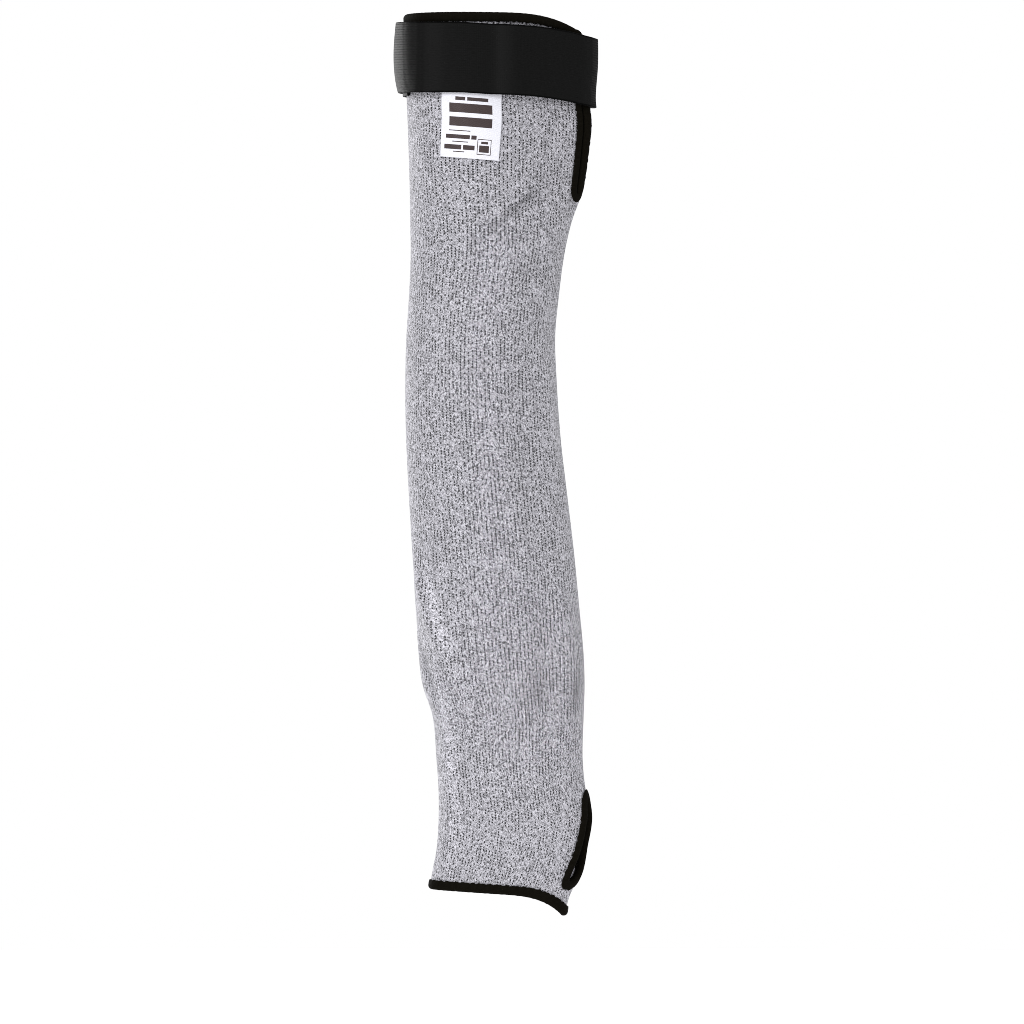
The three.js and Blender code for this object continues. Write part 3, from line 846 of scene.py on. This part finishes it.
# The strap's run: how far round the sleeve and off the cloth's middle, and as shares of
# its width how far it is shifted up, how far it stands off at mid width, and how far its
# lower edge is drawn in
strap_run = np.array([
    (0.43, on_knit, 0, 0, 0),
    (0.85, on_knit, 0, 0, 0),
    (0.9, on_binding, 0, 0, 0),
    (1.0, on_binding, 0, 0, 0),
    (1.06, on_binding, 0.026, 0, 0),
    (1.14, on_binding, 0.03, 0, 0),
    (1.24, on_binding, 0.022, 0, 0),
    (1.29, on_binding, 0.04, 0, 0),
    (1.36, on_binding, 0.042, 0, 0),
    (1.42, on_lap, 0.047, 0, 0.01),
    (1.5, on_lap, 0.058, 0.032, 0.021),
    (1.61, on_lap, 0.058, 0.008, 0.01),
])

# Upright creases in the strap: where round the sleeve, how wide, and their height
strap_creases = ((1.218, 0.012, 0.0014), (1.338, 0.012, 0.0009), (1.019, 0.012, 0.0007))


def strap_place(u, v):
    around = strap_run[0, 0] + (strap_run[-1, 0] - strap_run[0, 0]) * u
    off, lift, belly, tuck = (
        np.interp(around, strap_run[:, 0], strap_run[:, k]) for k in range(1, 5)
    )
    share = 1 - 2 * v
    swell = belly * np.cos(math.pi * share / 2) - tuck * np.maximum(0, -share) ** 4
    z = strap_height(reach_at(around, np.zeros_like(u))) + (lift + share / 2) * strap_width
    crease = sum(h * np.exp(-(((around - at) / wide) ** 2)) for at, wide, h in strap_creases)
    return skin(around, z, off + swell * strap_width + crease + strap_thickness / 2)


strap_length = float(perimeter_at(0)) * (strap_run[-1, 0] - strap_run[0, 0])
strap_grid = (420, 24)
strap_edge = 0.0005
strap = laid_out("elastic_strap", *strap_grid, strap_place, (strap_length, strap_width))
sewn_up(strap)
finished(strap, "SOLIDIFY", thickness=strap_thickness, offset=0, use_even_offset=True)
finished(strap, "BEVEL", width=strap_edge, segments=3, limit_method="ANGLE")

strap_cloth, along_strap, across_strap = cloth_material(
    "ribbed_elastic",
    Roughness=0.6,
    Sheen_Weight=0.006,
    Sheen_Roughness=0.4,
    Specular_IOR_Level=0.018,
)
rib_pitch = 0.00135
thread_pitch = 0.0009
slub_along, slub_across = 400, 2500
slub_detail = 3.0
rib_height, thread_height, slub_height = 0.3, 0.15, 0.5
strap_relief = 0.0002
# Painted shade along both long edges of the strap: how far out from its middle the darkening
# begins and ends, and its black
edge_shade_span = (strap_width / 2 - 0.0012, strap_width / 2 - 0.0004)
edge_shade_black = (0.0015, 0.0015, 0.0015, 1)
elastic_dark = (0.004, 0.004, 0.004, 1)
elastic_light = (0.0105, 0.0105, 0.0105, 1)
ribs = (across_strap * (2 * math.pi / rib_pitch)).sine()
threads = (along_strap * (2 * math.pi / thread_pitch)).sine()
slub = (along_strap * slub_along).place(across_strap * slub_across).noise(slub_detail)
# Painted shade: 0 over the strap's face, rising to 1 at both long edges
painted_edge_shade = abs(across_strap - strap_width / 2).smooth(*edge_shade_span)

# Painted sheen along the strap's creases, lighter where a crease would catch the light: how much
# wider than the crease, and how much lighter for each metre of its height
crease_sheen_spread = 1.4
crease_sheen_lightness = 450
painted_crease_sheen = None
for at, wide, height in strap_creases:
    crease_along = strap_length * (at - strap_run[0, 0]) / (strap_run[-1, 0] - strap_run[0, 0])
    crease_sheen_width = wide * float(perimeter_at(0)) * crease_sheen_spread
    off_crease = (along_strap - crease_along) / crease_sheen_width
    crease_sheen_band = (off_crease * off_crease * -1).exponent() * (height * crease_sheen_lightness)
    painted_crease_sheen = crease_sheen_band if painted_crease_sheen is None else painted_crease_sheen + crease_sheen_band
# The elastic's random slub tone plus the painted crease sheen
elastic = (slub + painted_crease_sheen).tint(elastic_dark, elastic_light)
# The elastic's colour, darkened towards the painted edge shade at both long edges
painted_edge_shade.tint(elastic, edge_shade_black).to("Base Color")
(ribs * rib_height + threads * thread_height + slub * slub_height).relief(strap_relief)
strap.data.materials.clear()
strap.data.materials.append(strap_cloth)
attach(strap, root)
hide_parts("closure_strap")


# Hook patch. A piece of black hook tape sewn to the inner face of the strap's end; it
# grips the outer face of the strap's start.
hook_length = 0.038
hook_width = 0.03
hook_around = 0.52
hook_grid = (40, 30)


def hook_place(u, v):
    around = hook_around + hook_length * (u - 0.5) / perimeter_at(0)
    z = strap_height(reach_at(around, np.zeros_like(u))) + hook_width * (0.5 - v)
    out = on_knit + strap_thickness + gap + hook_thickness / 2
    return skin(around, z, np.full_like(u, out))


hook = laid_out("hook_tape_end", *hook_grid, hook_place, (hook_length, hook_width))
sewn_up(hook)
finished(hook, "SOLIDIFY", thickness=hook_thickness, offset=0)
hook_tape, along_hook, across_hook = cloth_material("hook_tape", Roughness=0.7)
hook_rows = 3500
hook_relief = 0.0003
hook_dark = (0.004, 0.004, 0.004, 1)
hook_light = (0.012, 0.012, 0.012, 1)
hooks = (along_hook * hook_rows).sine() * (across_hook * hook_rows).sine()
hooks.tint(hook_dark, hook_light).to("Base Color")
hooks.relief(hook_relief)
hook.data.materials.clear()
hook.data.materials.append(hook_tape)
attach(hook, root)
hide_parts("hook_patch")


# Label. A white satin label, sewn to the knit with its top edge under the strap; its
# print is plain bars and a ruled box.
label_width = 0.0325
label_length = 0.034
label_tuck = 0.005
label_grid = (64, 72)
label_thickness = 0.0006
label_turn = math.radians(4.5)
label_around = 0.271


def label_place(u, v):
    reach = reach_at(np.array([label_around]), np.array([0.0]))[0]
    upper = strap_height(reach) - strap_width / 2 + label_tuck
    aside = label_width * (u - 0.5)
    down = (label_length + label_tuck) * v
    z = upper - down * math.cos(label_turn) + aside * math.sin(label_turn)
    shift = aside * math.cos(label_turn) + down * math.sin(label_turn)
    out = on_knit + label_thickness / 2
    return skin(label_around + shift / perimeter_at(0), z, np.full_like(u, out))


label_unit = (label_width, label_length + label_tuck)
label = laid_out("satin_label", *label_grid, label_place, label_unit)
sewn_up(label)
finished(label, "SOLIDIFY", thickness=label_thickness, offset=0)
label_satin, along_label, down_label = cloth_material("label_satin", Roughness=0.5)
satin_across, satin_down = 9000, 6000
satin_dark = (0.78, 0.78, 0.85, 1)
satin_light = (0.82, 0.82, 0.88, 1)
satin_relief = 0.00005
print_black = (0.035, 0.02, 0.02, 1)
satin = (along_label * satin_across).sine() * (down_label * satin_down).sine()
white = satin.tint(satin_dark, satin_light)

# Rows of the print, in millimetres: upper and lower edge below the strap, then where its
# bars begin and end from the label's left edge
print_rows = (
    (1.1, 3.0, 7.3, 12.4, 13.4, 24.7),
    (4.6, 9.6, 4.2, 27.0),
    (12.0, 17.0, 4.2, 27.0),
    (19.2, 19.7, 4.2, 15.4),
    (21.6, 23.8, 2.8, 15.4, 16.2, 19.0),
    (23.2, 23.6, 19.8, 27.4),
    (23.2, 31.6, 19.6, 20.0, 27.0, 27.4),
    (24.5, 25.8, 21.6, 25.4),
    (25.1, 25.6, 6.4, 14.6),
    (26.6, 30.3, 20.8, 26.2),
    (27.0, 29.5, 2.2, 11.4, 12.2, 18.4),
    (30.4, 30.9, 7.2, 13.0),
    (31.2, 31.6, 19.6, 27.4),
)
ink = None
from_left = 1 - along_label / label_width
for upper, lower, *ends in print_rows:
    steps = [(0, 0)] + [(end / 1000 / label_width, (i + 1) % 2) for i, end in enumerate(ends)]
    bars = from_left.node("ValToRGB", {"steps": steps}, {"Fac": from_left})
    below = down_label.above(label_tuck + upper / 1000)
    beyond = down_label.above(label_tuck + lower / 1000)
    row = bars * (below - beyond)
    ink = row if ink is None else ink + row
ink.tint(white, print_black).to("Base Color")
satin.relief(satin_relief)
label.data.materials.clear()
label.data.materials.append(label_satin)
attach(label, root)
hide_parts("label_tag")
